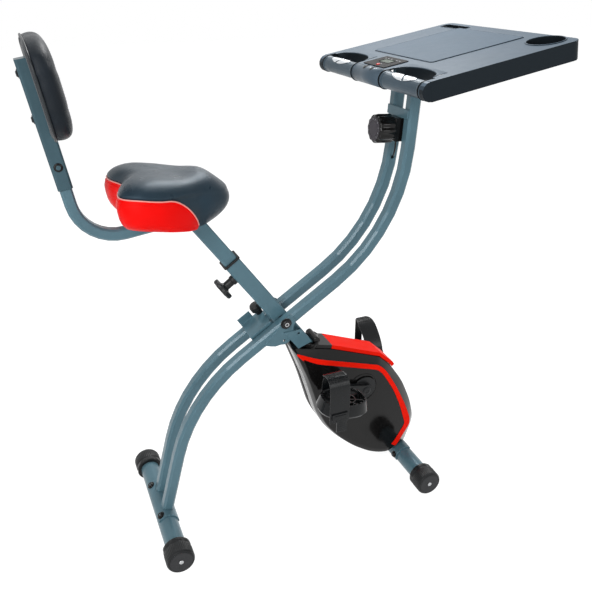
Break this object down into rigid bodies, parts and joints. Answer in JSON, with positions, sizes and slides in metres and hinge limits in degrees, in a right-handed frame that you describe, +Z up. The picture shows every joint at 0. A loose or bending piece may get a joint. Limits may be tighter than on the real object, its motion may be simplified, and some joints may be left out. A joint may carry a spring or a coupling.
{
  "type": "folding desk exercise bike",
  "caption": "Folding X-frame upright exercise bike with a sloped desk tray, cup well, padded seat and backrest, and an enclosed pedal drive.",
  "frame": {"origin": "middle of the underside of the object's box, on the floor", "axes": "+Z up, +X from the seat towards the desk, +Y to the rider's left"},
  "size_m": [1.1088, 0.4806, 1.2052],
  "materials": {
    "powder_coat": "satin powder coat",
    "black_plastic": "fine texture",
    "gloss_black": "gloss",
    "red_plastic": "gloss",
    "desk_plastic": "fine texture",
    "mat_plastic": "fine texture",
    "grip_foam": "soft matt",
    "chrome": "polished",
    "steel": "plain",
    "cast_metal": "machined",
    "rubber": "matt",
    "slate_vinyl": "vinyl over foam",
    "red_vinyl": "vinyl over foam",
    "screen_glass": "clear over a grey display"
  },
  "bodies": {
    "desk_frame": {"right_frame_tube": "powder_coat", "left_frame_tube": "powder_coat", "rear_foot_tube": "powder_coat", "rear_foot_saddle": "powder_coat", "right_rear_cap": "black_plastic", "left_rear_cap": "black_plastic", "pivot_bolt": "black_plastic", "desk_shell": "desk_plastic", "desk_mat": "mat_plastic", "grip_bar": "steel", "right_grip": "grip_foam", "left_grip": "grip_foam", "right_pulse_plate": "chrome", "left_pulse_plate": "chrome", "console_case": "gloss_black", "console_screen": "screen_glass", "desk_bracket": "powder_coat", "tension_bracket": "powder_coat", "tension_body": "black_plastic", "tension_cable": "rubber"},
    "drive_frame": {"main_post": "powder_coat", "post_collar": "black_plastic", "lock_bracket": "powder_coat", "right_post_cheek": "powder_coat", "left_post_cheek": "powder_coat", "front_foot_tube": "powder_coat", "front_foot_saddle": "powder_coat", "right_front_cap": "black_plastic", "left_front_cap": "black_plastic", "right_housing": "gloss_black", "left_housing": "gloss_black", "housing_top_cap": "black_plastic", "housing_red_cover": "red_plastic", "right_red_stripe": "red_plastic", "left_red_stripe": "red_plastic", "crank_shell": "powder_coat", "right_crank_bearing": "steel", "left_crank_bearing": "steel", "belt": "rubber"},
    "mode_button": {"mode_button": "red_plastic"},
    "tension_knob": {"tension_knob": "black_plastic"},
    "lock_knob": {"lock_knob": "black_plastic"},
    "seat_knob": {"seat_knob": "black_plastic"},
    "magnet_carrier": {"magnet_carrier": "cast_metal"},
    "flywheel": {"flywheel": "cast_metal", "flywheel_axle": "steel"},
    "crank": {"crank_axle": "steel", "right_crank_arm": "black_plastic", "left_crank_arm": "black_plastic", "crank_pulley": "black_plastic"},
    "right_pedal": {"right_pedal": "black_plastic", "right_strap": "rubber"},
    "left_pedal": {"left_pedal": "black_plastic", "left_strap": "rubber"},
    "seat": {"seat_post": "powder_coat", "seat_cushion": "slate_vinyl", "seat_band": "red_vinyl", "backrest_arm": "powder_coat", "backrest_sleeve": "powder_coat", "backrest_pad": "slate_vinyl"}
  },
  "joints": [
    {"name": "fold", "type": "hinge", "parent": "desk_frame", "child": "drive_frame", "pos_m": [-0.04637, 0, 0.53732], "axis": [0, 1, 0], "range_deg": [0, 50]},
    {"name": "seat_height", "type": "slide", "parent": "drive_frame", "child": "seat", "axis": [-0.5834, 0, 0.8122], "range_m": [-0.04, 0.06]},
    {"name": "seat_knob_turn", "type": "hinge", "parent": "drive_frame", "child": "seat_knob", "pos_m": [-0.15479, 0, 0.65397], "axis": [-0.8122, 0, -0.5834], "range_deg": [0, 360]},
    {"name": "lock_pull", "type": "slide", "parent": "drive_frame", "child": "lock_knob", "axis": [-0.5477, 0, 0.8367], "range_m": [0, 0.01], "stiffness_N_per_m": 300, "springref_m": -0.01},
    {"name": "crank_turn", "type": "hinge", "parent": "drive_frame", "child": "crank", "pos_m": [0.1741, 0, 0.29983], "axis": [0, 1, 0], "continuous": true},
    {"name": "flywheel_turn", "type": "hinge", "parent": "drive_frame", "child": "flywheel", "pos_m": [0.23192, 0, 0.14991], "axis": [0, 1, 0], "continuous": true},
    {"name": "right_pedal_turn", "type": "hinge", "parent": "crank", "child": "right_pedal", "pos_m": [0.07316, -0.133, 0.32688], "axis": [0, 1, 0], "continuous": true},
    {"name": "left_pedal_turn", "type": "hinge", "parent": "crank", "child": "left_pedal", "pos_m": [0.27504, 0.133, 0.27278], "axis": [0, 1, 0], "continuous": true},
    {"name": "tension_turn", "type": "hinge", "parent": "desk_frame", "child": "tension_knob", "pos_m": [0.24211, 0, 0.97197], "axis": [-0.9982, 0, 0.0606], "range_deg": [0, 270]},
    {"name": "magnet_swing", "type": "hinge", "parent": "drive_frame", "child": "magnet_carrier", "pos_m": [0.22491, 0, 0.2301], "axis": [0, -1, 0], "range_deg": [0, 5]},
    {"name": "mode_press", "type": "slide", "parent": "desk_frame", "child": "mode_button", "axis": [0.1745, 0, -0.9847], "range_m": [0, 0.0012], "stiffness_N_per_m": 200}
  ],
  "couplings": [
    {"joint": "flywheel_turn", "follows": "crank_turn", "ratio": 4.48},
    {"joint": "magnet_swing", "follows": "tension_turn", "ratio": 0.018518}
  ]
}
